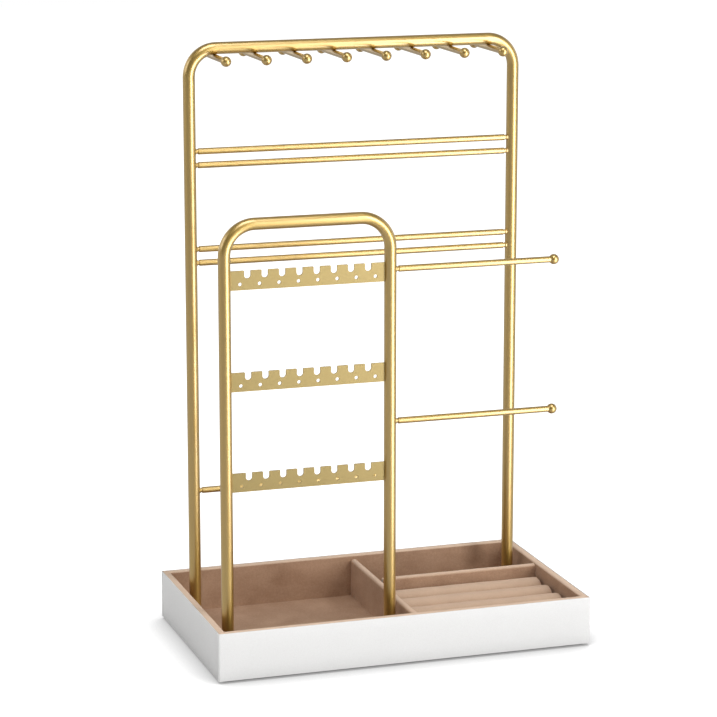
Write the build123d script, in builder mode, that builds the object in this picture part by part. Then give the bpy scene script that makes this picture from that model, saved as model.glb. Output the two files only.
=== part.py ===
from build123d import *
import os

# Jewellery stand: a shallow velvet-lined tray carrying two bent-tube frames.
# Millimetres. X runs along the front, Y towards the back, Z up.
# The origin is the middle of the underside, on the surface the stand rests on.

# ---- tray -----------------------------------------------------------------
tray_width = 230.0          # outside, over the covering
tray_depth = 133.0
side_height = 28.5          # covered sides, without the felt
corner_radius = 1.2         # upright outer edges
cover_thickness = 0.8       # leatherette
wall_thickness = 3.0        # fibreboard behind the covering
liner_thickness = 1.2       # velvet on card
lip_thickness = 1.0         # velvet turned over the top of the walls
rim_rounding = 2.0          # inner edge of the rim
cover_edge_rounding = 0.3
felt_thickness = 1.5
felt_inset = 3.0
board_thickness = 2.0       # bottom board
floor_velvet = 0.7

# ---- partitions -----------------------------------------------------------
partition_core = 2.6        # card core of each partition
partition_velvet = 0.9      # velvet on each side and over the top
divider_x = 8.1             # middle of the full-depth divider
divider_drop = 2.4          # its top below the rim
ring_wall_y = 12.3          # middle of the wall behind the rings
ring_wall_drop = 0.8

# ---- lift-out ring pad ----------------------------------------------------
pad_side_gap = 1.7          # to the divider and to the right wall
pad_end_gap = 0.8           # to the ring wall and to the front wall
pad_float = 0.3             # above the floor
pad_board = 1.5
roll_count = 4
roll_gap = 0.4              # slit between neighbouring rolls
roll_top = 23.7             # crown above the table
roll_shoulder = 1.0         # how far the round top stays below a half circle
roll_end_rounding = 2.5

# ---- tubes and frames -----------------------------------------------------
tube_diameter = 7.2
tube_wall = 0.8
leg_side_inset = 13.8       # leg axis to the tray's left and right faces
leg_end_inset = 29.9        # leg axis to the tray's front and back faces
front_leg_gap = 7.5         # front frame's right leg axis to the divider's side
rear_frame_top = 357.2      # top of the bar above the table
rear_bend = 16.4            # on the tube's axis
front_frame_top = 265.1
front_bend = 18.0
leg_hole_clearance = 0.2

# ---- leg fixings ----------------------------------------------------------
insert_length = 14.0        # threaded plug in each leg
screw_diameter = 4.0
screw_length = 11.0
screw_head_diameter = 7.6
screw_head_land = 0.2       # board left above the sunk head
screw_clearance = 0.15
drive_width = 0.9
drive_length = 3.6
drive_depth = 1.0

# ---- rods -----------------------------------------------------------------
rod_diameter = 3.8
neck_diameter = 2.8         # turned-down end of a rod
neck_length = 1.3           # bare neck between post and shoulder
upper_pair_drop = 63.9      # top of the rear frame to the upper pair's higher rod
lower_pair_drop = 122.2
pair_spacing = 8.2
ball_diameter = 6.2

# ---- hooks under the top bar ----------------------------------------------
hook_count = 8
hook_end_gap = 15.8         # outer hooks to the leg axes
hook_half_length = 24.6     # bar axis to ball centre
hook_rod = 3.6
hook_sink = 0.15            # how far the rod is let into the bar

# ---- side arms ------------------------------------------------------------
arm_end_gap = 1.1           # ball centre to the rear frame's right leg axis, seen from the front
upper_arm_drop = 34.5       # top of the front frame to the arm's axis
lower_arm_drop = 125.0
rear_arm_z = 87.5           # above the table
rear_arm_overlap = 14.6     # how far its ball passes the front frame's right leg axis

# ---- earring strips -------------------------------------------------------
strip_thickness = 1.0
strip_height = 11.3
upper_strip_drop = 41.5     # top of the front frame to the strip's lower edge
middle_strip_drop = 100.8
lower_strip_drop = 160.3
notch_count = 8
notch_margin = 9.975        # end notches' middles to the posts
notch_width = 3.8
notch_depth = 4.6
ear_hole_count = 8
ear_hole_margin = 5.6       # end holes' middles to the posts
ear_hole_diameter = 2.1
ear_hole_height = 3.4       # above the strip's lower edge
strip_corner = 0.4

# ---- worked out from the sizes above --------------------------------------
side_bottom = felt_thickness
rim_z = side_bottom + side_height
wall_top = rim_z - lip_thickness
board_top = side_bottom + board_thickness
floor_z = board_top + floor_velvet
tube_radius = tube_diameter / 2
tube_bore = tube_diameter - 2 * tube_wall
cover_inside = cover_thickness
wall_inside = cover_inside + wall_thickness
liner_inside = wall_inside + liner_thickness
clear_width = tray_width - 2 * liner_inside
clear_depth = tray_depth - 2 * liner_inside
partition_thickness = partition_core + 2 * partition_velvet
ring_wall_left = divider_x + partition_thickness / 2
ring_wall_right = clear_width / 2
left_leg_x = -(tray_width / 2 - leg_side_inset)
rear_right_leg_x = -left_leg_x
front_right_leg_x = divider_x - partition_thickness / 2 - front_leg_gap
rear_frame_y = tray_depth / 2 - leg_end_inset
front_frame_y = -rear_frame_y
leg_places = [
    (left_leg_x, rear_frame_y),
    (rear_right_leg_x, rear_frame_y),
    (left_leg_x, front_frame_y),
    (front_right_leg_x, front_frame_y),
]
screw_head_height = board_thickness - screw_head_land


def tray_ring(outer_inset, inner_inset, bottom, top):
    """Upright-sided ring that follows the tray between two insets."""
    with BuildPart() as ring:
        with BuildSketch(Plane.XY.offset(bottom)):
            Rectangle(tray_width - 2 * outer_inset, tray_depth - 2 * outer_inset)
            Rectangle(tray_width - 2 * inner_inset, tray_depth - 2 * inner_inset,
                      mode=Mode.SUBTRACT)
        extrude(amount=top - bottom)
    return ring.part


def side_wedge(side):
    """Tall prism that holds one side of the tray, cut at the mitres."""
    half_width, half_depth = tray_width / 2, tray_depth / 2
    ridge = half_width - half_depth
    outlines = {
        "front": [(-half_width, -half_depth), (half_width, -half_depth), (ridge, 0), (-ridge, 0)],
        "back": [(half_width, half_depth), (-half_width, half_depth), (-ridge, 0), (ridge, 0)],
        "left": [(-half_width, half_depth), (-half_width, -half_depth), (-ridge, 0)],
        "right": [(half_width, -half_depth), (half_width, half_depth), (ridge, 0)],
    }
    with BuildPart() as wedge:
        with BuildSketch(Plane.XY):
            Polygon(*outlines[side], align=None)
        extrude(amount=rim_z)
    return wedge.part


def bent_tube(left, right, y, top, bend, bore):
    """Inverted U of round tube standing on the bottom board; a bore of 0 leaves it solid."""
    axis_top = top - tube_radius
    with BuildPart() as frame:
        with BuildLine():
            FilletPolyline((left, y, board_top), (left, y, axis_top),
                           (right, y, axis_top), (right, y, board_top), radius=bend)
        with BuildSketch(Plane(origin=(left, y, board_top), z_dir=(0, 0, 1))):
            Circle(tube_radius)
            if bore > 0:
                Circle(bore / 2, mode=Mode.SUBTRACT)
        sweep()
    return frame.part


def rod_along_x(start, end, y, z, necks):
    """Round rod from start to end with a turned-down neck at the chosen ends."""
    bare = tube_radius + neck_length
    left = start + (bare if "left" in necks else 0)
    right = end - (bare if "right" in necks else 0)
    with BuildPart() as rod:
        with BuildSketch(Plane.YZ.offset(start)):
            with Locations((y, z)):
                Circle(neck_diameter / 2)
        extrude(amount=end - start)
        with BuildSketch(Plane.YZ.offset(left)):
            with Locations((y, z)):
                Circle(rod_diameter / 2)
        extrude(amount=right - left)
    return rod.part


pieces = {}

# ---- tray shell -----------------------------------------------------------
with BuildPart() as base_felt:
    with BuildSketch(Plane.XY):
        Rectangle(tray_width - 2 * felt_inset, tray_depth - 2 * felt_inset)
    extrude(amount=felt_thickness)
    fillet(base_felt.edges().filter_by(Axis.Z), corner_radius)
pieces["base_felt"] = base_felt.part

with BuildPart() as bottom_board:
    with BuildSketch(Plane.XY.offset(side_bottom)):
        Rectangle(tray_width - 2 * wall_inside, tray_depth - 2 * wall_inside)
    extrude(amount=board_thickness)
    for place in leg_places:
        with BuildSketch(Plane.XY.offset(side_bottom)):
            with Locations(place):
                Circle(screw_head_diameter / 2)
        with BuildSketch(Plane.XY.offset(side_bottom + screw_head_height)):
            with Locations(place):
                Circle(screw_diameter / 2)
        loft(mode=Mode.SUBTRACT)
        with BuildSketch(Plane.XY.offset(side_bottom)):
            with Locations(place):
                Circle(screw_diameter / 2 + screw_clearance)
        extrude(amount=board_thickness, mode=Mode.SUBTRACT)
pieces["bottom_board"] = bottom_board.part

wall_ring = tray_ring(cover_inside, wall_inside, side_bottom, wall_top)
for side in ("front", "back", "left", "right"):
    with BuildPart() as wall:
        add(wall_ring)
        add(side_wedge(side), mode=Mode.INTERSECT)
    pieces[f"wall_{side}"] = wall.part

with BuildPart() as leatherette_cover:
    with BuildSketch(Plane.XY.offset(side_bottom)):
        RectangleRounded(tray_width, tray_depth, corner_radius)
        Rectangle(tray_width - 2 * cover_inside, tray_depth - 2 * cover_inside,
                  mode=Mode.SUBTRACT)
    extrude(amount=side_height)
    top_face = leatherette_cover.faces().sort_by(Axis.Z)[-1]
    fillet(top_face.outer_wire().edges(), cover_edge_rounding)
pieces["leatherette_cover"] = leatherette_cover.part

# ---- velvet lining --------------------------------------------------------
with BuildPart() as floor_lining:
    with BuildSketch(Plane.XY.offset(board_top)):
        Rectangle(tray_width - 2 * wall_inside, tray_depth - 2 * wall_inside)
        with Locations(*leg_places):
            Circle(tube_radius + leg_hole_clearance, mode=Mode.SUBTRACT)
    extrude(amount=floor_velvet)
pieces["floor_lining"] = floor_lining.part

with BuildPart() as lining_ring:
    add(tray_ring(wall_inside, liner_inside, floor_z, rim_z))
    add(tray_ring(cover_inside, liner_inside, wall_top, rim_z))
    rim_face = lining_ring.faces().sort_by(Axis.Z)[-1]
    fillet(rim_face.inner_wires().edges(), rim_rounding)
for side in ("front", "back", "left", "right"):
    with BuildPart() as liner:
        add(lining_ring.part)
        add(side_wedge(side), mode=Mode.INTERSECT)
    pieces[f"liner_{side}"] = liner.part

# ---- partitions -----------------------------------------------------------
divider_top = rim_z - divider_drop
with BuildPart() as divider_core:
    with BuildSketch(Plane.XY.offset(floor_z)):
        with Locations((divider_x, 0)):
            Rectangle(partition_core, clear_depth)
    extrude(amount=divider_top - partition_velvet - floor_z)
pieces["divider_core"] = divider_core.part

with BuildPart() as divider_velvet:
    with BuildSketch(Plane.XY.offset(floor_z)):
        with Locations((divider_x, 0)):
            Rectangle(partition_thickness, clear_depth)
    extrude(amount=divider_top - floor_z)
    long_edges = divider_velvet.edges().filter_by(Axis.Y).group_by(Axis.Z)[-1]
    fillet(long_edges, partition_thickness / 2 - partition_velvet / 2)
    add(divider_core.part, mode=Mode.SUBTRACT)
pieces["divider_velvet"] = divider_velvet.part

ring_wall_top = rim_z - ring_wall_drop
ring_wall_middle = (ring_wall_left + ring_wall_right) / 2
ring_wall_length = ring_wall_right - ring_wall_left
with BuildPart() as ring_wall_core:
    with BuildSketch(Plane.XY.offset(floor_z)):
        with Locations((ring_wall_middle, ring_wall_y)):
            Rectangle(ring_wall_length, partition_core)
    extrude(amount=ring_wall_top - partition_velvet - floor_z)
pieces["ring_wall_core"] = ring_wall_core.part

with BuildPart() as ring_wall_velvet:
    with BuildSketch(Plane.XY.offset(floor_z)):
        with Locations((ring_wall_middle, ring_wall_y)):
            Rectangle(ring_wall_length, partition_thickness)
    extrude(amount=ring_wall_top - floor_z)
    long_edges = ring_wall_velvet.edges().filter_by(Axis.X).group_by(Axis.Z)[-1]
    fillet(long_edges, partition_thickness / 2 - partition_velvet / 2)
    add(ring_wall_core.part, mode=Mode.SUBTRACT)
pieces["ring_wall_velvet"] = ring_wall_velvet.part

# ---- lift-out ring pad ----------------------------------------------------
pad_left = ring_wall_left + pad_side_gap
pad_right = ring_wall_right - pad_side_gap
pad_front = -clear_depth / 2 + pad_end_gap
pad_back = ring_wall_y - partition_thickness / 2 - pad_end_gap
pad_bottom = floor_z + pad_float
with BuildPart() as ring_pad_board:
    with BuildSketch(Plane.XY.offset(pad_bottom)):
        with Locations(((pad_left + pad_right) / 2, (pad_front + pad_back) / 2)):
            Rectangle(pad_right - pad_left, pad_back - pad_front)
    extrude(amount=pad_board)
    fillet(ring_pad_board.edges().filter_by(Axis.Z), corner_radius)
pieces["ring_pad_board"] = ring_pad_board.part

roll_pitch = (pad_back - pad_front) / roll_count
roll_width = roll_pitch - roll_gap
roll_bottom = pad_bottom + pad_board
crown_radius = roll_width / 2
shoulder_z = roll_top - crown_radius + roll_shoulder
for number in range(roll_count):
    roll_y = pad_back - (number + 0.5) * roll_pitch
    with BuildPart() as ring_roll:
        with BuildSketch(Plane.YZ.offset(pad_left)):
            with BuildLine():
                Polyline((roll_y - crown_radius, shoulder_z),
                         (roll_y - crown_radius, roll_bottom),
                         (roll_y + crown_radius, roll_bottom),
                         (roll_y + crown_radius, shoulder_z))
                ThreePointArc((roll_y + crown_radius, shoulder_z), (roll_y, roll_top),
                              (roll_y - crown_radius, shoulder_z))
            make_face()
        extrude(amount=pad_right - pad_left)
        end_faces = ring_roll.faces().filter_by(Axis.X)
        fillet(end_faces.edges().group_by(Axis.Z)[-1], roll_end_rounding)
    pieces[f"ring_roll_{number + 1}"] = ring_roll.part

# ---- frames ---------------------------------------------------------------
rear_frame_route = (left_leg_x, rear_right_leg_x, rear_frame_y, rear_frame_top, rear_bend)
front_frame_route = (left_leg_x, front_right_leg_x, front_frame_y, front_frame_top, front_bend)
pieces["rear_frame"] = bent_tube(*rear_frame_route, tube_bore)
pieces["front_frame"] = bent_tube(*front_frame_route, tube_bore)

# Solid envelopes, so that whatever is welded on is coped to the tube's outside.
rear_envelope = bent_tube(*rear_frame_route, 0)
front_envelope = bent_tube(*front_frame_route, 0)

# ---- leg fixings ----------------------------------------------------------
for number, place in enumerate(leg_places, start=1):
    with BuildPart() as leg_insert:
        with BuildSketch(Plane.XY.offset(board_top)):
            with Locations(place):
                Circle(tube_bore / 2)
                Circle(screw_diameter / 2 + screw_clearance, mode=Mode.SUBTRACT)
        extrude(amount=insert_length)
    pieces[f"leg_insert_{number}"] = leg_insert.part

    with BuildPart() as leg_screw:
        with BuildSketch(Plane.XY.offset(side_bottom)):
            with Locations(place):
                Circle(screw_head_diameter / 2)
        with BuildSketch(Plane.XY.offset(side_bottom + screw_head_height)):
            with Locations(place):
                Circle(screw_diameter / 2)
        loft()
        with BuildSketch(Plane.XY.offset(side_bottom + screw_head_height)):
            with Locations(place):
                Circle(screw_diameter / 2)
        extrude(amount=screw_length - screw_head_height)
        with BuildSketch(Plane.XY.offset(side_bottom)):
            with Locations(place):
                Rectangle(drive_length, drive_width)
                Rectangle(drive_width, drive_length)
        extrude(amount=drive_depth, mode=Mode.SUBTRACT)
    pieces[f"leg_screw_{number}"] = leg_screw.part

# ---- cross rods of the rear frame -----------------------------------------
cross_rod_heights = {
    "cross_rod_1": rear_frame_top - upper_pair_drop,
    "cross_rod_2": rear_frame_top - upper_pair_drop - pair_spacing,
    "cross_rod_3": rear_frame_top - lower_pair_drop,
    "cross_rod_4": rear_frame_top - lower_pair_drop - pair_spacing,
}
for name, height in cross_rod_heights.items():
    with BuildPart() as cross_rod:
        add(rod_along_x(left_leg_x, rear_right_leg_x, rear_frame_y, height, ("left", "right")))
        add(rear_envelope, mode=Mode.SUBTRACT)
    pieces[name] = cross_rod.part

# ---- double-ended hooks under the top bar ---------------------------------
bar_z = rear_frame_top - tube_radius
hook_z = bar_z - tube_radius - hook_rod / 2 + hook_sink
hook_pitch = (rear_right_leg_x - left_leg_x - 2 * hook_end_gap) / (hook_count - 1)
for number in range(hook_count):
    hook_x = (number - (hook_count - 1) / 2) * hook_pitch
    middle = Plane(origin=(hook_x, rear_frame_y, hook_z), x_dir=(1, 0, 0), z_dir=(0, 1, 0))
    with BuildPart() as hook:
        with BuildSketch(middle):
            Circle(hook_rod / 2)
        extrude(amount=hook_half_length, both=True)
        add(rear_envelope, mode=Mode.SUBTRACT)
        with Locations(middle.offset(hook_half_length), middle.offset(-hook_half_length)):
            Sphere(ball_diameter / 2)
    pieces[f"hook_{number + 1}"] = hook.part

# ---- arms with ball ends --------------------------------------------------
side_arm_end = rear_right_leg_x - arm_end_gap
rear_arm_end = front_right_leg_x + rear_arm_overlap
arms = {
    "side_arm_upper": (front_right_leg_x, side_arm_end, front_frame_y,
                       front_frame_top - upper_arm_drop, front_envelope),
    "side_arm_lower": (front_right_leg_x, side_arm_end, front_frame_y,
                       front_frame_top - lower_arm_drop, front_envelope),
    "rear_arm": (left_leg_x, rear_arm_end, rear_frame_y, rear_arm_z, rear_envelope),
}
for name, (arm_start, arm_end, arm_y, arm_z, envelope) in arms.items():
    with BuildPart() as arm:
        add(rod_along_x(arm_start, arm_end, arm_y, arm_z, ("left",)))
        with Locations((arm_end, arm_y, arm_z)):
            Sphere(ball_diameter / 2)
        add(envelope, mode=Mode.SUBTRACT)
    pieces[name] = arm.part

# ---- earring strips -------------------------------------------------------
strip_middle = (left_leg_x + front_right_leg_x) / 2
strip_length = front_right_leg_x - left_leg_x
open_length = strip_length - tube_diameter
notch_pitch = (open_length - 2 * notch_margin) / (notch_count - 1)
ear_hole_pitch = (open_length - 2 * ear_hole_margin) / (ear_hole_count - 1)
strip_drops = (upper_strip_drop, middle_strip_drop, lower_strip_drop)
for number, drop in enumerate(strip_drops, start=1):
    bottom = front_frame_top - drop
    top = bottom + strip_height
    with BuildPart() as strip:
        with BuildSketch(Plane.XZ.offset(-front_frame_y)):
            with Locations((strip_middle, bottom + strip_height / 2)):
                Rectangle(strip_length, strip_height)
            with Locations((strip_middle, top)):
                with GridLocations(notch_pitch, 0, notch_count, 1):
                    SlotCenterToCenter(2 * (notch_depth - notch_width / 2), notch_width,
                                       rotation=90, mode=Mode.SUBTRACT)
            with Locations((strip_middle, bottom + ear_hole_height)):
                with GridLocations(ear_hole_pitch, 0, ear_hole_count, 1):
                    Circle(ear_hole_diameter / 2, mode=Mode.SUBTRACT)
        extrude(amount=strip_thickness / 2, both=True)
        notch_mouths = strip.edges().filter_by(Axis.Y).filter_by(
            lambda edge: abs(edge.center().Z - top) < strip_corner
            and abs(edge.center().X - strip_middle) < strip_length / 2 - tube_radius)
        fillet(notch_mouths, strip_corner)
        add(front_envelope, mode=Mode.SUBTRACT)
    pieces[f"earring_strip_{number}"] = strip.part

os.makedirs("parts", exist_ok=True)
for name, piece in pieces.items():
    piece.label = name
    export_step(piece, f"parts/{name}.step")
print(len(pieces), "pieces")
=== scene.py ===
import math

import bmesh
import bpy
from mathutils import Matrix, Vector


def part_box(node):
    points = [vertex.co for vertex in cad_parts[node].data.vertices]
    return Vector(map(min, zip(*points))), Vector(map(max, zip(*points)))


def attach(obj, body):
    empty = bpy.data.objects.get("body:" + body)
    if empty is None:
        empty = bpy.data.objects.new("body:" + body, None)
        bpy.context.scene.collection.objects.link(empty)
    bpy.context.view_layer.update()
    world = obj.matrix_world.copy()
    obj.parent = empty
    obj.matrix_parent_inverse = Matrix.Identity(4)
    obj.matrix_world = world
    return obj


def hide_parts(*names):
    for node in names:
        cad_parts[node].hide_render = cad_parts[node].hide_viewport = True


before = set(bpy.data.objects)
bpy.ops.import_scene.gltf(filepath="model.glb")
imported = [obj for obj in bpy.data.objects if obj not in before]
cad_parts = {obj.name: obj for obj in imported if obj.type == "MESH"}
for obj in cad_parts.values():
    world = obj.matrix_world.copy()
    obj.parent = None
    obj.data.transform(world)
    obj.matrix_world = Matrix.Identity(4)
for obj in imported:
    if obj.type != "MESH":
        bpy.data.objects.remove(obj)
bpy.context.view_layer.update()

mm = 0.001
axes = {"x": Vector((1, 0, 0)), "y": Vector((0, 1, 0)), "z": Vector((0, 0, 1))}


# selecting and shaping, as done by hand in edit mode

def startAlone():
    if bpy.context.object and bpy.context.object.mode != "OBJECT":
        bpy.ops.object.mode_set(mode="OBJECT")
    bpy.ops.object.select_all(action="DESELECT")


def leaveEdit(piece):
    bpy.ops.object.mode_set(mode="OBJECT")
    piece.select_set(True)
    bpy.context.view_layer.objects.active = piece


def addBlock(name, low, high):
    startAlone()
    low, high = Vector(low), Vector(high)
    bpy.ops.mesh.primitive_cube_add(size=1, location=(low + high) / 2)
    piece = bpy.context.object
    piece.name = piece.data.name = name
    piece.scale = high - low
    bpy.ops.object.transform_apply(location=True, rotation=True, scale=True)
    bpy.ops.object.mode_set(mode="EDIT")
    return piece


def pick(piece, kind, test):   # test takes the middle of an edge or face, and its run or normal
    bpy.context.tool_settings.mesh_select_mode = (False, kind == "edges", kind == "faces")
    mesh = bmesh.from_edit_mesh(piece.data)
    mesh.normal_update()
    for part in [*mesh.faces, *mesh.edges, *mesh.verts]:
        part.select = False
    for part in getattr(mesh, kind):
        if kind == "edges":
            start, end = (corner.co for corner in part.verts)
            chosen = test((start + end) / 2, (end - start).normalized())
        else:
            chosen = test(part.calc_center_median(), part.normal)
        if chosen:
            part.select_set(True)
    bmesh.update_edit_mesh(piece.data)


def cutAcross(axis, places):
    for place in places:
        bpy.ops.mesh.select_all(action="SELECT")
        bpy.ops.mesh.bisect(plane_co=axes[axis] * place, plane_no=axes[axis])


def spread(start, end, step):
    count = max(1, round((end - start) / step))
    return [start + (end - start) * number / count for number in range(1, count)]


def near(value, target):
    return abs(value - target) < 0.02 * mm


def bevelSharp(piece, width, segments, degrees):
    leaveEdit(piece)
    edges = piece.modifiers.new("edges", "BEVEL")
    edges.width = width
    edges.segments = segments
    edges.limit_method = "ANGLE"
    edges.angle_limit = math.radians(degrees)
    bpy.ops.object.modifier_apply(modifier=edges.name)


def soften(piece, grain, depth):
    leaveEdit(piece)
    texture = bpy.data.textures.new(piece.name + "Unevenness", "CLOUDS")
    texture.noise_scale = grain
    texture.noise_depth = 1
    modifier = piece.modifiers.new("unevenness", "DISPLACE")
    modifier.texture = texture
    modifier.texture_coords = "LOCAL"
    modifier.strength = depth
    modifier.mid_level = 0.5
    bpy.ops.object.modifier_apply(modifier=modifier.name)


def smooth(piece, degrees=40):
    leaveEdit(piece)
    bpy.ops.object.shade_smooth_by_angle(angle=math.radians(degrees))


def middleOf(node):
    low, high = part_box(node)
    return (low + high) / 2


def finishPiece(piece, material, body, node):
    piece.data.materials.clear()
    piece.data.materials.append(material)
    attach(piece, body)
    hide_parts(node)


# shader maths

class Wire:
    def __init__(self, finish, socket):
        self.finish = finish
        self.socket = socket

    def maths(self, operation, first, second):
        return self.finish.add("ShaderNodeMath", {"operation": operation}, {0: first, 1: second})

    def __add__(self, other):
        return self.maths("ADD", self, other)

    def __sub__(self, other):
        return self.maths("SUBTRACT", self, other)

    def __rsub__(self, other):
        return self.maths("SUBTRACT", other, self)

    def __mul__(self, other):
        return self.maths("MULTIPLY", self, other)

    def above(self, other):
        return self.maths("MAXIMUM", self, other)

    __radd__ = __add__
    __rmul__ = __mul__


class Finish:
    def __init__(self, owner):   # a new material or a world
        self.owner = owner
        owner.use_nodes = True
        self.tree = owner.node_tree
        self.tree.nodes.clear()

    def add(self, kind, settings=None, inputs=None, output=0):
        made = self.tree.nodes.new(kind)
        for key, value in (settings or {}).items():
            setattr(made, key, value)
        for key, value in (inputs or {}).items():
            if isinstance(value, Wire):
                self.tree.links.new(value.socket, made.inputs[key])
            else:
                made.inputs[key].default_value = value
        if made.outputs:
            return Wire(self, made.outputs[output])

    def place(self):
        return self.add("ShaderNodeTexCoord", output="Object")

    def noise(self, scale, detail=2.0, stretch=(1, 1, 1), roughness=0.5):
        spot = self.add("ShaderNodeMapping", inputs={"Vector": self.place(), "Scale": stretch})
        return self.add("ShaderNodeTexNoise", inputs={
            "Vector": spot, "Scale": scale, "Detail": detail, "Roughness": roughness})

    def ramp(self, value, edge, levels=(0.0, 1.0), soft=False):   # clamped beyond the two edges
        return self.add("ShaderNodeMapRange", {
            "interpolation_type": "SMOOTHSTEP" if soft else "LINEAR"}, {
            "Value": value, "From Min": edge[0], "From Max": edge[1],
            "To Min": levels[0], "To Max": levels[1]})

    def facing(self, direction, toward):   # 1 straight toward, 0 across, -1 away
        return self.add("ShaderNodeVectorMath", {"operation": "DOT_PRODUCT"}, {
            0: direction, 1: toward}, "Value")

    def ray(self, kind):
        return self.add("ShaderNodeLightPath", output=f"Is {kind} Ray")

    def blend(self, share, first, second):
        return self.add("ShaderNodeMix", {"data_type": "RGBA"}, {0: share, 6: first, 7: second}, 2)

    def relief(self, height, distance, strength=1.0):
        return self.add("ShaderNodeBump", inputs={
            "Height": height, "Distance": distance, "Strength": strength})

    def surface(self, **inputs):
        named = {key.replace("_", " "): value for key, value in inputs.items()}
        shader = self.add("ShaderNodeBsdfPrincipled", inputs=named)
        self.add("ShaderNodeOutputMaterial", inputs={"Surface": shader})
        return self.owner


def tone(red, green, blue):
    def linear(level):
        level /= 255
        return level / 12.92 if level <= 0.04045 else ((level + 0.055) / 1.055) ** 2.4
    return (linear(red), linear(green), linear(blue), 1.0)


# finishes; pattern scales such as cloud, grain and pile are in repeats per metre

goldLook = {"light": tone(193, 158, 66), "dark": tone(187, 151, 57), "cloud": 22, "grain": 900,
            "roughness": 0.4, "metal": 1.0, "coat": 1.0, "coatIor": 2.1, "coatRoughness": 0.28,
            "peelSize": 500, "peel": 0.0008 * mm}
goldSheetLook = goldLook | {
    "light": tone(166, 147, 97), "dark": tone(154, 134, 83), "roughness": 0.5, "metal": 0.85,
    "coat": 0.4, "coatIor": 1.5, "coatRoughness": 0.4, "peel": 0.006 * mm}


def goldLacquer(name, look):
    gold = Finish(bpy.data.materials.new(name))
    cloud = gold.noise(look["cloud"], 3)
    grain = gold.noise(look["grain"], 2)
    return gold.surface(
        Base_Color=gold.blend(cloud * 0.6 + grain * 0.4, look["dark"], look["light"]),
        Metallic=look["metal"], Roughness=look["roughness"] + cloud * 0.06,
        Coat_Weight=look["coat"], Coat_IOR=look["coatIor"], Coat_Roughness=look["coatRoughness"],
        Normal=gold.relief(gold.noise(look["peelSize"], 1), look["peel"]))


leatherLook = {"crease": tone(215, 214, 213), "skin": tone(223, 223, 222), "pores": 1500,
               "waves": 70, "grain": 420, "roughness": 0.5, "depth": 0.05 * mm}


def leatherette(name, look):
    skin = Finish(bpy.data.materials.new(name))
    pores = skin.add("ShaderNodeTexVoronoi", {"feature": "DISTANCE_TO_EDGE"}, {
        "Vector": skin.place(), "Scale": look["pores"]})
    creases = pores.maths("MINIMUM", pores * 4, 1.0)
    waves = skin.noise(look["waves"], 3)
    return skin.surface(
        Base_Color=skin.blend(waves * 0.3 + creases * 0.7, look["crease"], look["skin"]),
        Roughness=look["roughness"] - creases * 0.08, Specular_IOR_Level=0.4,
        Normal=skin.relief(creases * 0.5 + skin.noise(look["grain"], 2), look["depth"], 0.6))


velvetLook = {"deep": tone(143, 110, 86), "light": tone(190, 157, 131), "paintedTopLight": tone(220, 194, 171),
              "tint": tone(238, 214, 196), "sheen": 0.4, "brushed": 55, "tuft": 700, "pile": 2600,
              "depth": 0.12 * mm, "paintedTopLightBlur": 0.4 * mm}
# height bands over which each velvet piece turns to the paler painted top light colour (painted
# highlight on the tops, painted shade below)
paintedTopLightBands = {"rimVelvet": (29.2 * mm, 30.2 * mm), "dividerVelvet": (26.4 * mm, 28.0 * mm),
               "ringWallVelvet": (28.0 * mm, 29.6 * mm), "rollVelvet": (17.5 * mm, 28.0 * mm)}


def velvet(name, look):
    cloth = Finish(bpy.data.materials.new(name))
    brushed = cloth.noise(look["brushed"], 4, (1, 1, 1.6))
    pile = cloth.noise(look["pile"], 3, roughness=0.7)
    tuft = cloth.noise(look["tuft"], 2)
    share = cloth.ramp(brushed * 0.4 + tuft * 0.2 + pile * 0.4, (0.3, 0.7))
    colour = cloth.blend(share, look["deep"], look["light"])
    if name in paintedTopLightBands:   # painted top light: paler from this material's height band up, a painted highlight and sheen on the tops, leaving the rolls' lower sides and slits darker as painted shade
        height = cloth.add("ShaderNodeSeparateXYZ", inputs={0: cloth.place()}, output=2)
        paintedTopLightShare = cloth.ramp(height + pile * look["paintedTopLightBlur"], paintedTopLightBands[name])
        colour = cloth.blend(paintedTopLightShare, colour, look["paintedTopLight"])
    return cloth.surface(
        Base_Color=colour, Roughness=0.92, Specular_IOR_Level=0.15,
        Sheen_Weight=look["sheen"], Sheen_Roughness=0.45, Sheen_Tint=look["tint"],
        Normal=cloth.relief(pile + tuft * 0.6, look["depth"], 0.8))


feltLook = {"dark": tone(120, 120, 122), "light": tone(176, 176, 178), "fibres": 1800,
            "clumps": 260, "depth": 0.15 * mm}


def felt(name, look):
    cloth = Finish(bpy.data.materials.new(name))
    fibres = cloth.noise(look["fibres"], 4, roughness=0.7)
    clumps = cloth.noise(look["clumps"], 3)
    return cloth.surface(
        Base_Color=cloth.blend(fibres * 0.6 + clumps * 0.4, look["dark"], look["light"]),
        Roughness=1.0, Specular_IOR_Level=0.1, Sheen_Weight=0.2,
        Normal=cloth.relief(fibres, look["depth"]))


fibreboardLook = {"dark": tone(150, 118, 82), "light": tone(184, 152, 112), "fibres": 500,
                  "specks": 2000, "depth": 0.06 * mm}
greyboardLook = {"dark": tone(150, 148, 143), "light": tone(184, 182, 176), "fibres": 600,
                 "specks": 2400, "depth": 0.06 * mm}


def board(name, look):
    pulp = Finish(bpy.data.materials.new(name))
    fibres = pulp.noise(look["fibres"], 5, (1, 1, 3), 0.65)
    specks = pulp.noise(look["specks"], 2)
    return pulp.surface(
        Base_Color=pulp.blend(fibres * 0.7 + specks * 0.3, look["dark"], look["light"]),
        Roughness=0.9, Specular_IOR_Level=0.2, Normal=pulp.relief(fibres, look["depth"]))


zincLook = {"dark": tone(178, 180, 184), "light": tone(206, 208, 210), "cloud": 300,
            "turning": 900, "roughness": 0.32, "depth": 0.01 * mm}


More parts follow.
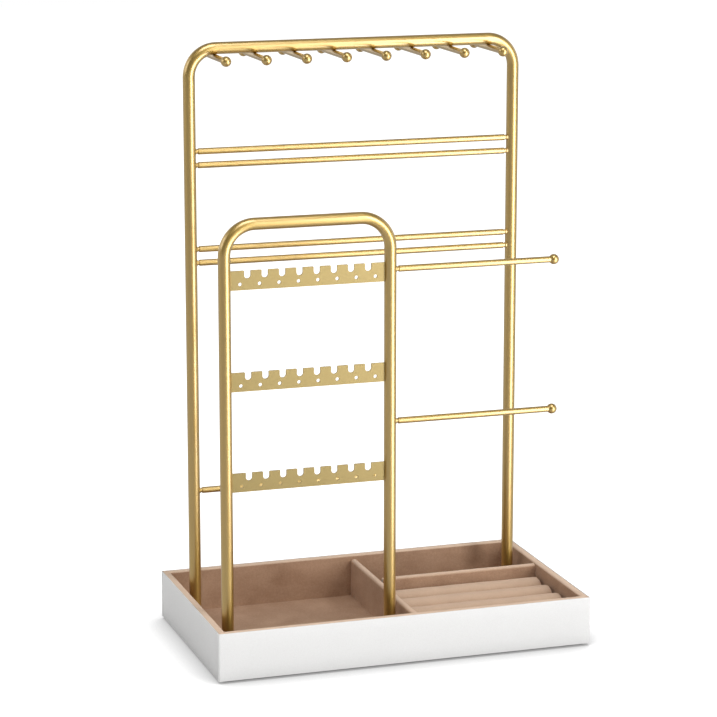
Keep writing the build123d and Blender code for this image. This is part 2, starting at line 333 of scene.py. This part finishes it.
def zincSteel(name, look):
    zinc = Finish(bpy.data.materials.new(name))
    cloud = zinc.noise(look["cloud"], 3)
    turned = zinc.noise(look["turning"], 2, (1, 1, 6))
    return zinc.surface(
        Base_Color=zinc.blend(cloud, look["dark"], look["light"]), Metallic=1.0,
        Roughness=look["roughness"] + turned * 0.12, Normal=zinc.relief(turned, look["depth"]))


gold = goldLacquer("goldLacquer", goldLook)
goldSheet = goldLacquer("goldSheet", goldSheetLook)
skinWhite = leatherette("whiteLeatherette", leatherLook)
velvetFlat = velvet("beigeVelvet", velvetLook)
velvetRim = velvet("rimVelvet", velvetLook)
velvetDivider = velvet("dividerVelvet", velvetLook)
velvetRingWall = velvet("ringWallVelvet", velvetLook)
velvetRoll = velvet("rollVelvet", velvetLook)
fibreboard = board("fibreboard", fibreboardLook)
greyboard = board("greyboard", greyboardLook)

# how the names of the CAD nodes start, and the finish of each; the longest start counts
nodeFinishes = {
    "rear_frame": gold, "front_frame": gold, "cross_rod": gold, "hook": gold,
    "side_arm": gold, "rear_arm": gold, "earring_strip": goldSheet,
    "leatherette_cover": skinWhite, "floor_lining": velvetFlat, "liner": velvetRim,
    "divider_velvet": velvetDivider, "ring_wall_velvet": velvetRingWall, "ring_roll": velvetRoll,
    "base_felt": felt("greyFelt", feltLook), "bottom_board": fibreboard, "wall": fibreboard,
    "divider_core": greyboard, "ring_wall_core": greyboard, "ring_pad_board": greyboard,
    "leg_": zincSteel("zincSteel", zincLook)}


def dressNodes():
    for name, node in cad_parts.items():
        starts = [start for start in nodeFinishes if name.startswith(start)]
        finish = nodeFinishes[max(starts, key=len)]
        if not node.material_slots:
            node.data.materials.append(finish)
        for holder in node.material_slots:
            holder.material = finish


dressNodes()
print("finishes on", len(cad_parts), "CAD nodes")


# covering: long sheets lap round the corners on to the short sides

coverShape = {"corner": 1.2 * mm, "lap": 3.2 * mm, "lapHeight": 0.22 * mm, "edge": 0.09 * mm,
              "thickness": 0.8 * mm, "step": 8 * mm, "wave": 0.06 * mm, "waveSize": 45 * mm}


def buildCover():
    size = coverShape
    low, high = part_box("leatherette_cover")
    piece = addBlock("coverWrap", low, high)
    pick(piece, "edges", lambda middle, run: abs(run.z) > 0.9)
    bpy.ops.mesh.bevel(offset=size["corner"], segments=6, affect="EDGES")
    laps = [low.y + size["lap"], high.y - size["lap"]]
    cutAcross("y", laps + spread(laps[0], laps[1], size["step"]))
    cutAcross("x", spread(low.x + size["lap"], high.x - size["lap"], size["step"]))
    cutAcross("z", spread(low.z, high.z, size["step"]))
    pick(piece, "faces", lambda middle, normal: abs(normal.x) > 0.99
         and laps[0] < middle.y < laps[1])
    bpy.ops.mesh.extrude_region_shrink_fatten(
        TRANSFORM_OT_shrink_fatten={"value": -size["lapHeight"]})
    pick(piece, "faces", lambda middle, normal: abs(normal.z) > 0.99)
    bpy.ops.mesh.delete(type="FACE")
    leaveEdit(piece)
    wall = piece.modifiers.new("wall", "SOLIDIFY")
    wall.thickness = size["thickness"] - size["lapHeight"]
    wall.offset = -1
    bpy.ops.object.modifier_apply(modifier=wall.name)
    bevelSharp(piece, size["edge"], 3, 50)
    soften(piece, size["waveSize"], size["wave"])
    smooth(piece, 50)
    finishPiece(piece, skinWhite, "stand", "leatherette_cover")


buildCover()
print("covering done")


# velvet on card along the four sides, mitred at the corners

liningShape = {"lip": 1.0 * mm, "card": 1.2 * mm, "innerRound": 2.0 * mm, "outerRound": 0.4 * mm,
               "step": 5 * mm, "merge": 0.04 * mm, "nap": 0.16 * mm, "napSize": 14 * mm}


def buildSideLining(side, turn):
    size = liningShape
    node = "liner_" + side
    low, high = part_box(node)
    across = turn in (90, 270)
    length = high.y - low.y if across else high.x - low.x
    deep = high.x - low.x if across else high.y - low.y
    reach = {0: -low.y, 90: high.x, 180: high.y, 270: -low.x}[turn]
    piece = addBlock(side + "Lining", (-length / 2, -reach, high.z - size["lip"]),
                     (length / 2, deep - reach, high.z))
    card = deep - reach - size["card"]
    cutAcross("y", [card])
    pick(piece, "faces", lambda middle, normal: normal.z < -0.9 and middle.y > card)
    bpy.ops.mesh.extrude_region_move(
        TRANSFORM_OT_translate={"value": (0, 0, low.z - high.z + size["lip"])})
    pick(piece, "edges", lambda middle, run: abs(run.x) > 0.9
         and near(middle.y, deep - reach) and near(middle.z, high.z))
    bpy.ops.mesh.bevel(offset=size["innerRound"], segments=8, affect="EDGES")
    pick(piece, "edges", lambda middle, run: abs(run.x) > 0.9
         and near(middle.y, -reach) and near(middle.z, high.z))
    bpy.ops.mesh.bevel(offset=size["outerRound"], segments=3, affect="EDGES")
    cutAcross("x", spread(-length / 2, length / 2, size["step"]))
    cutAcross("z", spread(low.z, high.z - size["innerRound"], size["step"]))
    for end in (-1, 1):
        bpy.ops.mesh.select_all(action="SELECT")
        bpy.ops.mesh.bisect(plane_co=(end * length / 2, -reach, 0), plane_no=(end, 1, 0),
                            use_fill=True, clear_outer=True)
    bpy.ops.mesh.select_all(action="SELECT")
    bpy.ops.mesh.remove_doubles(threshold=size["merge"])
    bpy.ops.mesh.select_all(action="SELECT")
    bpy.ops.mesh.fill_holes(sides=0)
    bpy.ops.mesh.normals_make_consistent(inside=False)
    leaveEdit(piece)
    piece.rotation_euler.z = math.radians(turn)
    bpy.ops.object.transform_apply(location=True, rotation=True, scale=True)
    soften(piece, size["napSize"], size["nap"])
    smooth(piece)
    finishPiece(piece, velvetRim, "stand", node)


for side, turn in {"front": 0, "right": 90, "back": 180, "left": 270}.items():
    buildSideLining(side, turn)
print("side linings done")


# velvet sheet on the floor of the tray, with a hole for each leg

floorShape = {"step": 3 * mm, "nap": 0.22 * mm, "napSize": 16 * mm, "legHole": 3.8 * mm,
              "holeSides": 48, "holeDepth": 20 * mm}


def buildFloor():
    size = floorShape
    low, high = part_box("floor_lining")
    piece = addBlock("floorLining", low, high)
    cutAcross("x", spread(low.x, high.x, size["step"]))
    cutAcross("y", spread(low.y, high.y, size["step"]))
    soften(piece, size["napSize"], size["nap"])
    for number in range(1, 5):
        leg = middleOf(f"leg_insert_{number}")
        startAlone()
        bpy.ops.mesh.primitive_cylinder_add(
            vertices=size["holeSides"], radius=size["legHole"], depth=size["holeDepth"],
            location=(leg.x, leg.y, low.z))
        cutter = bpy.context.object
        leaveEdit(piece)
        hole = piece.modifiers.new("legHole", "BOOLEAN")
        hole.object = cutter
        hole.operation = "DIFFERENCE"
        bpy.ops.object.modifier_apply(modifier=hole.name)
        bpy.data.objects.remove(cutter)
    smooth(piece)
    finishPiece(piece, velvetFlat, "stand", "floor_lining")


buildFloor()
print("floor lining done")


# velvet over the two partitions, rounded along the top

partitionShape = {"topRound": 1.9 * mm, "endRound": 0.7 * mm, "step": 4 * mm, "nap": 0.2 * mm,
                  "napSize": 12 * mm}


def buildPartition(name, node, along, material):
    size = partitionShape
    low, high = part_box(node)
    piece = addBlock(name, low, high)
    across = "y" if along == "x" else "x"
    pick(piece, "edges", lambda middle, run: abs(getattr(run, along)) > 0.9
         and near(middle.z, high.z))
    bpy.ops.mesh.bevel(offset=size["topRound"], segments=7, affect="EDGES")
    pick(piece, "edges", lambda middle, run: abs(getattr(run, along)) < 0.1
         and middle.z > low.z + mm
         and (near(getattr(middle, along), getattr(low, along))
              or near(getattr(middle, along), getattr(high, along))))
    bpy.ops.mesh.bevel(offset=size["endRound"], segments=3, affect="EDGES")
    cutAcross(along, spread(getattr(low, along), getattr(high, along), size["step"]))
    cutAcross("z", spread(low.z, high.z - size["topRound"], size["step"]))
    cutAcross(across, [(getattr(low, across) + getattr(high, across)) / 2])
    soften(piece, size["napSize"], size["nap"])
    smooth(piece)
    finishPiece(piece, material, "stand", node)


buildPartition("dividerVelvet", "divider_velvet", "y", velvetDivider)
buildPartition("ringWallVelvet", "ring_wall_velvet", "x", velvetRingWall)
print("partitions done")


# foam rolls in velvet, with their end faces tucked in

rollShape = {"topRound": 8.0 * mm, "endRound": 1.8 * mm, "tuck": 0.5 * mm, "tuckRim": 2.4 * mm,
             "endPlain": 3 * mm, "step": 2.5 * mm, "nap": 0.45 * mm, "napSize": 13 * mm}


def buildRoll(number):
    size = rollShape
    node = f"ring_roll_{number}"
    low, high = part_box(node)
    piece = addBlock(f"ringRoll{number}", low, high)
    pick(piece, "edges", lambda middle, run: abs(run.x) > 0.9 and near(middle.z, high.z))
    bpy.ops.mesh.bevel(offset=size["topRound"], segments=14, affect="EDGES")
    cutAcross("z", spread(low.z, high.z - size["topRound"], size["step"]))
    pick(piece, "faces", lambda middle, normal: abs(normal.x) > 0.9)
    bpy.ops.mesh.inset(thickness=size["tuckRim"], depth=-size["tuck"])
    bevelSharp(piece, size["endRound"], 5, 60)
    bpy.ops.object.mode_set(mode="EDIT")
    cutAcross("x", spread(low.x + size["endPlain"], high.x - size["endPlain"], size["step"]))
    soften(piece, size["napSize"], size["nap"])
    smooth(piece, 60)
    finishPiece(piece, velvetRoll, "ring_pad", node)


for number in range(1, 5):
    buildRoll(number)
print("ring rolls done")


# bent tubes of the two frames

tubeShape = {"radius": 3.6 * mm, "sides": 48, "bendSteps": 18, "merge": 0.001 * mm,
             "bends": {"rear_frame": 16.4 * mm, "front_frame": 18.0 * mm}}


def buildTube(name, node):
    size = tubeShape
    radius, bend = size["radius"], size["bends"][node]
    low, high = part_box(node)
    left, right, top = low.x + radius, high.x - radius, high.z - radius
    middle = (low.y + high.y) / 2
    startAlone()
    bpy.ops.mesh.primitive_circle_add(vertices=size["sides"], radius=radius,
                                      location=(left, middle, low.z))
    piece = bpy.context.object
    piece.name = piece.data.name = name
    bpy.ops.object.transform_apply(location=True, rotation=True, scale=True)
    bpy.ops.object.mode_set(mode="EDIT")
    bpy.context.tool_settings.mesh_select_mode = (False, True, False)
    bpy.ops.mesh.select_all(action="SELECT")
    rise, run = top - bend - low.z, right - left - 2 * bend
    for move, corner in (((0, 0, rise), left + bend), ((run, 0, 0), right - bend)):
        bpy.ops.mesh.extrude_region_move(TRANSFORM_OT_translate={"value": move})
        bpy.ops.mesh.spin(steps=size["bendSteps"], angle=math.radians(90),
                          center=(corner, middle, top - bend), axis=(0, -1, 0))
    bpy.ops.mesh.extrude_region_move(TRANSFORM_OT_translate={"value": (0, 0, -rise)})
    bpy.ops.mesh.select_all(action="SELECT")
    bpy.ops.mesh.remove_doubles(threshold=size["merge"])
    bpy.ops.mesh.select_all(action="DESELECT")
    bpy.ops.mesh.select_non_manifold()
    bpy.ops.mesh.edge_face_add()
    bpy.ops.mesh.select_all(action="SELECT")
    bpy.ops.mesh.normals_make_consistent(inside=False)
    smooth(piece, 50)
    finishPiece(piece, gold, "stand", node)


buildTube("rearFrameTube", "rear_frame")
buildTube("frontFrameTube", "front_frame")
print("frame tubes done")


# rods, hooks and arms, each turned from one outline of places along it and out from it

rodShape = {"radius": 1.9 * mm, "neck": 1.4 * mm, "neckLength": 1.3 * mm, "weld": 1.9 * mm,
            "weldStart": 0.05 * mm, "weldLength": 0.4 * mm, "inTube": 0.8 * mm,
            "shoulder": 0.25 * mm, "ball": 3.1 * mm, "hookRadius": 1.8 * mm,
            "hookHalf": 24.6 * mm, "sides": 32, "ballSteps": 14, "merge": 0.002 * mm}


def ballOutline(centre, stem):
    ball, steps = rodShape["ball"], rodShape["ballSteps"]
    reach = math.pi - math.asin(stem / ball)
    return [(centre - ball * math.cos(reach * step / steps), ball * math.sin(reach * step / steps))
            for step in range(steps + 1)]


def otherEnd(outline):   # the same end for the far side
    return [(-along, out) for along, out in reversed(outline)]


def weldedEnd(tubeSide):   # inside the tube, then bead, neck and shoulder, going right
    size = rodShape
    neckEnd = tubeSide + size["neckLength"]
    return [(tubeSide - size["inTube"], 0), (tubeSide - size["inTube"], size["weld"]),
            (tubeSide + size["weldStart"], size["weld"]),
            (tubeSide + size["weldLength"], size["neck"]), (neckEnd, size["neck"]),
            (neckEnd, size["radius"] - size["shoulder"]),
            (neckEnd + size["shoulder"], size["radius"])]


def turnOutline(name, outline, middle, toward):
    startAlone()
    bpy.ops.mesh.primitive_plane_add(size=mm)
    piece = bpy.context.object
    piece.name = piece.data.name = name
    bpy.ops.object.mode_set(mode="EDIT")
    bpy.context.tool_settings.mesh_select_mode = (True, False, False)
    bpy.ops.mesh.select_all(action="SELECT")
    bpy.ops.mesh.merge(type="CENTER")
    bpy.ops.transform.translate(value=(outline[0][0], outline[0][1], 0))
    for (along, out), (nextAlong, nextOut) in zip(outline, outline[1:]):
        bpy.ops.mesh.extrude_region_move(
            TRANSFORM_OT_translate={"value": (nextAlong - along, nextOut - out, 0)})
    bpy.ops.mesh.select_all(action="SELECT")
    bpy.ops.mesh.spin(steps=rodShape["sides"], angle=math.radians(360), center=(0, 0, 0),
                      axis=(1, 0, 0))
    bpy.ops.mesh.select_all(action="SELECT")
    bpy.ops.mesh.remove_doubles(threshold=rodShape["merge"])
    bpy.ops.mesh.normals_make_consistent(inside=False)
    leaveEdit(piece)
    piece.rotation_euler = Vector(toward).to_track_quat("X", "Z").to_euler()
    piece.location = middle
    bpy.ops.object.transform_apply(location=True, rotation=True, scale=True)
    smooth(piece)
    return piece


def copyTo(piece, name, move):
    startAlone()
    piece.select_set(True)
    bpy.context.view_layer.objects.active = piece
    bpy.ops.object.duplicate()
    made = bpy.context.object
    made.name = made.data.name = name
    made.location = move
    bpy.ops.object.transform_apply(location=True, rotation=True, scale=True)
    return made


def buildRow(name, node, count, outline, toward):   # turned once, then copied to the other places
    first = turnOutline(name + "1", outline, middleOf(node + "_1"), toward)
    made = [first] + [
        copyTo(first, f"{name}{number}", middleOf(f"{node}_{number}") - middleOf(node + "_1"))
        for number in range(2, count + 1)]
    for number, piece in enumerate(made, start=1):
        finishPiece(piece, gold, "stand", f"{node}_{number}")


def buildHooks():
    end = ballOutline(-rodShape["hookHalf"], rodShape["hookRadius"])
    buildRow("hook", "hook", 8, end + otherEnd(end), (0, -1, 0))


def buildCrossRods():
    tubeLow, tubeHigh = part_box("rear_frame")
    end = weldedEnd(2 * tubeShape["radius"] - (tubeHigh.x - tubeLow.x) / 2)
    buildRow("crossRod", "cross_rod", 4, end + otherEnd(end), (1, 0, 0))


def buildArm(name, node, frameNode):
    frameLow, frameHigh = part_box(frameNode)
    low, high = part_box(node)
    tubeSide = frameHigh.x if frameNode == "front_frame" else frameLow.x + 2 * tubeShape["radius"]
    middle = middleOf(node)
    end = weldedEnd(tubeSide - middle.x)
    ball = otherEnd(ballOutline(middle.x - high.x + rodShape["ball"], rodShape["radius"]))
    piece = turnOutline(name, end + ball, middle, (1, 0, 0))
    finishPiece(piece, gold, "stand", node)


buildHooks()
buildCrossRods()
buildArm("sideArmUpper", "side_arm_upper", "front_frame")
buildArm("sideArmLower", "side_arm_lower", "front_frame")
buildArm("rearArm", "rear_arm", "rear_frame")
print("rods, hooks and arms done")


# studio: a pale floor, white surroundings and three soft lamps

floorLook = {"size": 8.0, "drop": 0.1 * mm, "colour": tone(192, 192, 192),
             "lift": (0.95, 1.0), "liftEdge": (0.2, 0.7), "bounce": 0.6,
             "contact": 30 * mm, "contactShare": 0.68, "mirrorLevel": 0.15,
             "paintedPool": 6.0, "poolToward": (0.59, -0.81, 0.0), "poolWidth": (0.95, 0.99),
             "poolEdge": (0.15, 0.5)}


def floorPaper(look):
    paper = Finish(bpy.data.materials.new("floorPaper"))
    outward = paper.add("ShaderNodeVectorMath", {"operation": "NORMALIZE"}, {
        0: paper.place()}, "Vector")
    away = paper.add("ShaderNodeVectorMath", {"operation": "LENGTH"}, {0: paper.place()}, "Value")
    # painted pool of light: towards the tall lamp's side the floor glows brighter, but only for
    # glossy rays, as a painted reflection for the metal
    paintedPool = paper.ramp(paper.facing(outward, look["poolToward"]), look["poolWidth"],
                      (0.0, look["paintedPool"]), soft=True)
    beyond = paper.ramp(away, look["poolEdge"], soft=True)
    # the floor's glow: full for camera and transmission rays, the painted pool plus a dim painted
    # reflection level for glossy rays, and painted bounce light for diffuse rays
    seen = paper.ray("Camera").above(paper.ray("Transmission")).above(
        paper.ray("Glossy") * (paintedPool * beyond + look["mirrorLevel"])).above(
        paper.ray("Diffuse") * look["bounce"])
    white = paper.ramp(away, look["liftEdge"], look["lift"], soft=True)
    # painted contact shadow: ambient occlusion darkens the floor's glow and colour close to the
    # tray
    clear = paper.add("ShaderNodeAmbientOcclusion", {"samples": 12}, {
        "Distance": look["contact"]}, "AO")
    paintedContactShadow = clear * clear * look["contactShare"] + (1 - look["contactShare"])
    lift = paper.add("ShaderNodeEmission", inputs={"Strength": seen * white * paintedContactShadow})
    matt = paper.add("ShaderNodeBsdfDiffuse", inputs={
        "Color": paper.blend(paintedContactShadow, tone(0, 0, 0), look["colour"])})
    both = paper.add("ShaderNodeAddShader", inputs={0: lift, 1: matt})
    paper.add("ShaderNodeOutputMaterial", inputs={"Surface": both})
    return paper.owner


def layFloor():
    startAlone()
    bpy.ops.mesh.primitive_plane_add(size=floorLook["size"], location=(0, 0, -floorLook["drop"]))
    ground = bpy.context.object
    ground.name = "floor"
    ground.data.materials.append(floorPaper(floorLook))


airLook = {"fill": 0.36, "behind": (0.312, 0.95, 0.0), "behindEdge": (-0.35, 0.45),
           "frontLevel": floorLook["mirrorLevel"], "overheadEdge": (0.25, 0.7),
           "overheadLevel": 0.3}


def lightAir(look):   # white to the eye, and to the metal brighter behind it than in front
    air = Finish(bpy.data.worlds.new("studioAir"))
    bpy.context.scene.world = air.owner
    toward = air.add("ShaderNodeTexCoord", output="Generated")
    backLevel = air.ramp(air.facing(toward, (0, 0, 1)), look["overheadEdge"],
                         (1.0, look["overheadLevel"]), soft=True)
    mirrorLevel = air.ramp(air.facing(toward, look["behind"]), look["behindEdge"],
                           (look["frontLevel"], backLevel), soft=True)
    mirrored = air.ray("Glossy")
    direct = air.ray("Camera").above(air.ray("Transmission"))
    level = direct + mirrored * mirrorLevel + (1 - direct.above(mirrored)) * look["fill"]
    sky = air.add("ShaderNodeBackground", inputs={
        "Color": (1.0, 1.0, 1.0, 1.0), "Strength": level})
    air.add("ShaderNodeOutputWorld", inputs={"Surface": sky})


lamps = {
    "key": {"at": (1.5, -2.73, 1.25), "wide": 1.05, "tall": 2.45, "power": 60, "upright": True},
    "side": {"at": (-2.2, 0.15, 1.1), "wide": 1.2, "tall": 1.2, "power": 9.5, "upright": False},
    "top": {"at": (-0.15, -0.85, 2.1), "wide": 1.2, "tall": 1.2, "power": 22, "upright": False}}
lampAim = Vector((0, 0, 0.2))


def hangLamps():
    for name, lamp in lamps.items():
        light = bpy.data.lights.new(name, "AREA")
        light.shape = "RECTANGLE"
        light.size, light.size_y = lamp["wide"], lamp["tall"]
        light.energy = lamp["power"]
        holder = bpy.data.objects.new(name, light)
        bpy.context.scene.collection.objects.link(holder)
        holder.location = lamp["at"]
        toward = lampAim - Vector(lamp["at"])
        if lamp["upright"]:
            toward.z = 0   # it faces the stand without tilting down
        holder.rotation_euler = toward.to_track_quat("-Z", "Y").to_euler()
        holder.visible_camera = False


camera = {"at": (-0.5214, -1.5622, 0.5346), "down": 12.49, "right": 18.16, "lens": 142.33,
          "farthest": 50}


def placeCamera():
    view = bpy.data.cameras.new("camera")
    view.lens = camera["lens"]
    view.clip_end = camera["farthest"]
    holder = bpy.data.objects.new("camera", view)
    bpy.context.scene.collection.objects.link(holder)
    holder.location = camera["at"]
    holder.rotation_euler = (math.radians(90 - camera["down"]), 0, -math.radians(camera["right"]))
    bpy.context.scene.camera = holder


layFloor()
lightAir(airLook)
hangLamps()
placeCamera()
bpy.context.scene.view_settings.view_transform = "Standard"
print("studio and camera done")
